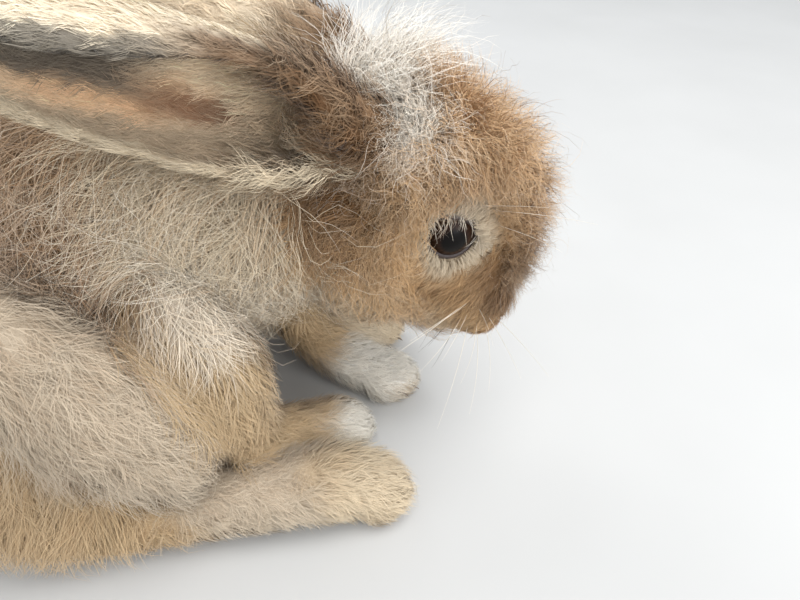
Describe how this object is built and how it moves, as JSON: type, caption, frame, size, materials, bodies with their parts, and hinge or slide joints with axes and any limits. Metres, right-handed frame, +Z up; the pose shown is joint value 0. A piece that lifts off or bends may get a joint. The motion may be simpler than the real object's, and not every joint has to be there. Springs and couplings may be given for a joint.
{
  "type": "angora rabbit",
  "caption": "Life-size still model of an angora rabbit, crouched on all fours with its head bowed, its ears laid back and a long woolly coat.",
  "frame": {"origin": "middle of the rabbit's box, on the floor that it crouches on", "axes": "+X towards the nose, +Y to the rabbit's left, +Z up"},
  "size_m": [0.383, 0.1714, 0.1868],
  "materials": {
    "fur_tan": "woolly",
    "fur_cream": "woolly",
    "fur_white": "woolly",
    "eye": "wet gloss"
  },
  "bodies": {
    "root": {"head": "fur_tan", "neck": "fur_cream", "torso": "fur_cream", "tail": "fur_white", "ear_left": "fur_cream", "ear_right": "fur_cream", "eye_left": "eye", "eye_right": "eye", "front_leg_left": "fur_tan", "front_leg_right": "fur_tan", "hind_leg_left": "fur_cream", "hind_leg_right": "fur_cream"}
  },
  "joints": []
}
